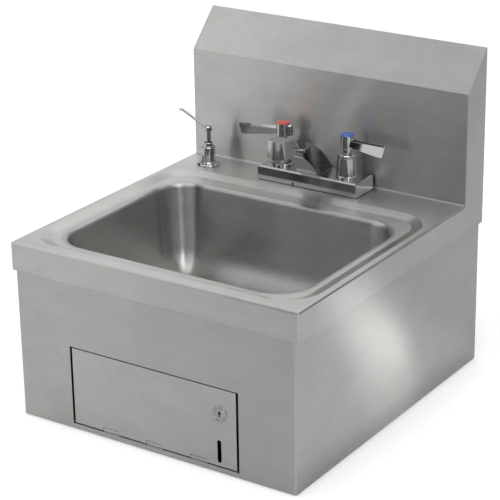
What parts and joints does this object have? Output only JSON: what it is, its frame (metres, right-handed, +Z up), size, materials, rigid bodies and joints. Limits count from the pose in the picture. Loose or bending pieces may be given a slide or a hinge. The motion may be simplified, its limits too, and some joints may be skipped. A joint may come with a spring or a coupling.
{
  "type": "wall-mounted hand sink",
  "caption": "Wall-mounted stainless hand sink with a splash back, a drawn bowl, a lever-handle deck faucet, a soap pump and a locked towel compartment in its apron.",
  "frame": {"origin": "centre of the wall bracket's four screw holes, on the wall plane", "axes": "+Y into the wall, +X to the right of a person who washes their hands, +Z up; the wall is the plane y = 0"},
  "size_m": [0.4335, 0.462, 0.444],
  "materials": {
    "brushed_steel": "fine brushed grain, satin",
    "chrome": "polished plating",
    "zinc_plated": "dull zinc plating",
    "brass": "machined, uncoated",
    "spring_steel": "drawn wire",
    "rubber": "matte black",
    "index_red": "glossy red",
    "index_blue": "glossy blue",
    "pump_plastic": "moulded white",
    "bottle_plastic": "blown, slightly milky"
  },
  "bodies": {
    "sink": {"basin_top": "brushed_steel", "splash_end_left": "brushed_steel", "splash_end_right": "brushed_steel", "bowl": "brushed_steel", "apron": "brushed_steel", "towel_box": "brushed_steel", "door_hinge_leaf": "brushed_steel", "door_hinge_pin": "zinc_plated", "wall_bracket": "zinc_plated", "faucet_body": "chrome", "faucet_gasket": "rubber", "aerator": "chrome", "supply_shanks": "brass", "shank_washers": "zinc_plated", "shank_nuts": "brass", "hot_bonnet": "chrome", "cold_bonnet": "chrome", "soap_post": "chrome", "soap_collar": "chrome", "soap_shank": "zinc_plated", "soap_nut": "zinc_plated", "pump_cylinder": "pump_plastic", "pump_spring": "spring_steel", "soap_bottle": "bottle_plastic", "dip_tube": "pump_plastic", "drain_body": "brushed_steel", "drain_gasket": "rubber", "drain_nut": "brass", "tailpiece": "chrome", "slip_nut": "chrome"},
    "door": {"towel_door": "brushed_steel", "lock_barrel": "chrome", "lock_nut": "zinc_plated"},
    "lock": {"lock_plug": "chrome", "lock_cam": "zinc_plated", "cam_screw": "zinc_plated"},
    "hot_valve": {"hot_stem": "brass", "hot_handle": "chrome", "hot_handle_screw": "zinc_plated", "hot_index": "index_red"},
    "cold_valve": {"cold_stem": "brass", "cold_handle": "chrome", "cold_handle_screw": "zinc_plated", "cold_index": "index_blue"},
    "pump_rod": {"soap_plunger": "chrome"},
    "pump_head": {"soap_head": "chrome"},
    "strainer": {"drain_strainer": "brushed_steel"}
  },
  "joints": [
    {"name": "hot_turn", "type": "hinge", "parent": "sink", "child": "hot_valve", "pos_m": [-0.0508, -0.078, -0.1], "axis": [0, 0, 1], "range_deg": [-16, 74]},
    {"name": "cold_turn", "type": "hinge", "parent": "sink", "child": "cold_valve", "pos_m": [0.0508, -0.078, -0.1], "axis": [0, 0, 1], "range_deg": [-85, 5]},
    {"name": "door_swing", "type": "hinge", "parent": "sink", "child": "door", "pos_m": [0, -0.4578, -0.39], "axis": [1, 0, 0], "range_deg": [0, 95]},
    {"name": "lock_turn", "type": "hinge", "parent": "door", "child": "lock", "pos_m": [0.101, -0.4618, -0.32], "axis": [0, -1, 0], "range_deg": [0, 90]},
    {"name": "pump_press", "type": "slide", "parent": "sink", "child": "pump_rod", "axis": [0, 0, -1], "range_m": [0, 0.012], "stiffness_N_per_m": 300, "springref_m": -0.005, "deforming": ["pump_spring"]},
    {"name": "nozzle_swivel", "type": "hinge", "parent": "pump_rod", "child": "pump_head", "pos_m": [-0.17, -0.086, -0.111], "axis": [0, 0, 1], "range_deg": [-30, 210]},
    {"name": "strainer_lift", "type": "slide", "parent": "sink", "child": "strainer", "axis": [0, 0, 1], "range_m": [0, 0.05]}
  ]
}
